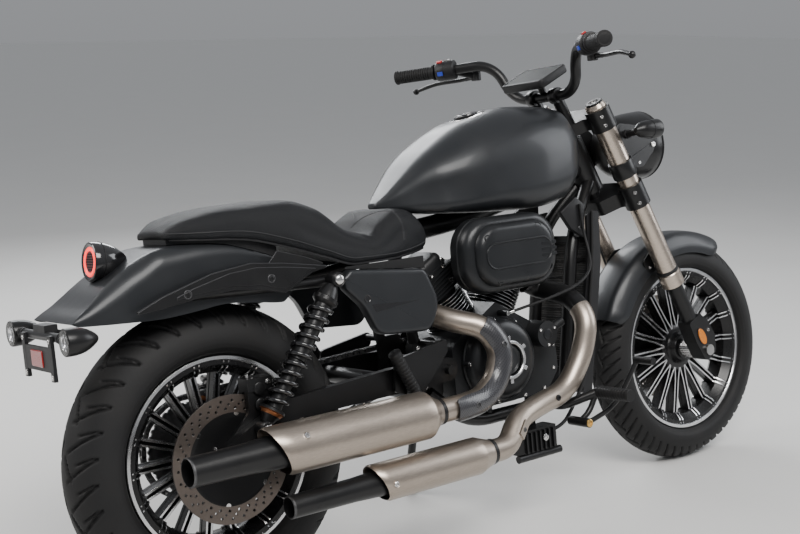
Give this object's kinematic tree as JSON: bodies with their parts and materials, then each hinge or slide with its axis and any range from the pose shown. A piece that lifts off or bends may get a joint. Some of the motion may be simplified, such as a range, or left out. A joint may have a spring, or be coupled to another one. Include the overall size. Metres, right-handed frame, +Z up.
{
  "type": "cruiser motorcycle",
  "caption": "Dark grey cruiser motorcycle with a finned vee engine, champagne fork and exhaust, cast wheels and a stepped seat, parked on its side stand.",
  "frame": {"origin": "On the ground, below the middle of the bounding box of the parked cycle.", "axes": "+X forward, +Y to the left, +Z up. The cycle leans to +Y on its side stand."},
  "size_m": [2.052, 0.8206, 1.1573],
  "materials": {
    "black_metal": "satin black powder coat",
    "black_plastic": "matt black plastic",
    "bright_steel": "bright turned steel",
    "carbon": "woven carbon look under clear coat",
    "champagne": "satin champagne nickel",
    "clear_lens": "clear moulded lens",
    "cover_grey": "satin dark grey paint",
    "dark_steel": "oiled steel",
    "disc_steel": "ground steel, slightly rusted edge",
    "engine_black": "matt black engine enamel",
    "grey_paint": "satin dark grey paint",
    "radiator_core": "black fins",
    "rubber": "matt black rubber",
    "seat_leather": "black textured leatherette",
    "tyre": "matt rubber with road tread",
    "wheel_black": "satin black casting with machined edges"
  },
  "bodies": {
    "frame": {"frame": "black_metal", "swingarm": "black_metal", "rear_axle": "bright_steel", "rear_caliper": "black_metal", "shocks": "black_metal", "engine_case": "engine_black", "cylinders": "engine_black", "right_cover": "cover_grey", "left_cover": "cover_grey", "air_cleaner": "cover_grey", "exhaust_pipes": "champagne", "mufflers": "champagne", "heat_shield": "carbon", "radiator": "radiator_core", "radiator_shroud": "grey_paint", "tank": "grey_paint", "fuel_cap": "black_metal", "seat": "seat_leather", "rear_fender": "grey_paint", "fender_struts": "black_metal", "side_covers": "grey_paint", "neck_covers": "black_plastic", "tail_lamp": "black_plastic", "rear_indicators": "black_plastic", "chain": "dark_steel", "cables": "rubber", "forward_controls": "black_metal", "pillion_pegs": "black_metal"},
    "fork": {"fork_tubes": "champagne", "fork_sliders": "bright_steel", "front_axle": "bright_steel", "fork_clamps": "black_metal", "front_caliper": "black_metal", "front_fender": "grey_paint", "handlebar": "black_metal", "grips": "rubber", "controls": "black_plastic", "display": "black_plastic", "headlamp": "black_metal", "headlamp_lens": "clear_lens", "front_indicators": "black_plastic", "front_hose": "rubber"},
    "front_wheel": {"front_tyre": "tyre", "front_rim": "wheel_black", "front_disc": "disc_steel"},
    "rear_wheel": {"rear_tyre": "tyre", "rear_rim": "wheel_black", "rear_disc": "disc_steel", "rear_sprocket": "dark_steel"},
    "stand": {"side_stand": "black_metal"}
  },
  "joints": [
    {"name": "steering", "type": "hinge", "parent": "frame", "child": "fork", "pos_m": [0.4253, -0.03196, 0.80982], "axis": [-0.4431, 0.1402, 0.8854], "range_deg": [-28, 28]},
    {"name": "front_wheel_spin", "type": "hinge", "parent": "fork", "child": "front_wheel", "pos_m": [0.727, -0.11333, 0.29606], "axis": [0, 0.9877, -0.1564], "continuous": true},
    {"name": "rear_wheel_spin", "type": "hinge", "parent": "frame", "child": "rear_wheel", "pos_m": [-0.691, -0.11158, 0.30711], "axis": [0, 0.9877, -0.1564], "continuous": true},
    {"name": "side_stand_swing", "type": "hinge", "parent": "frame", "child": "stand", "pos_m": [-0.081, -0.01839, 0.23065], "axis": [-0.2091, 0.9779, -0.0028], "range_deg": [0, 102]}
  ]
}
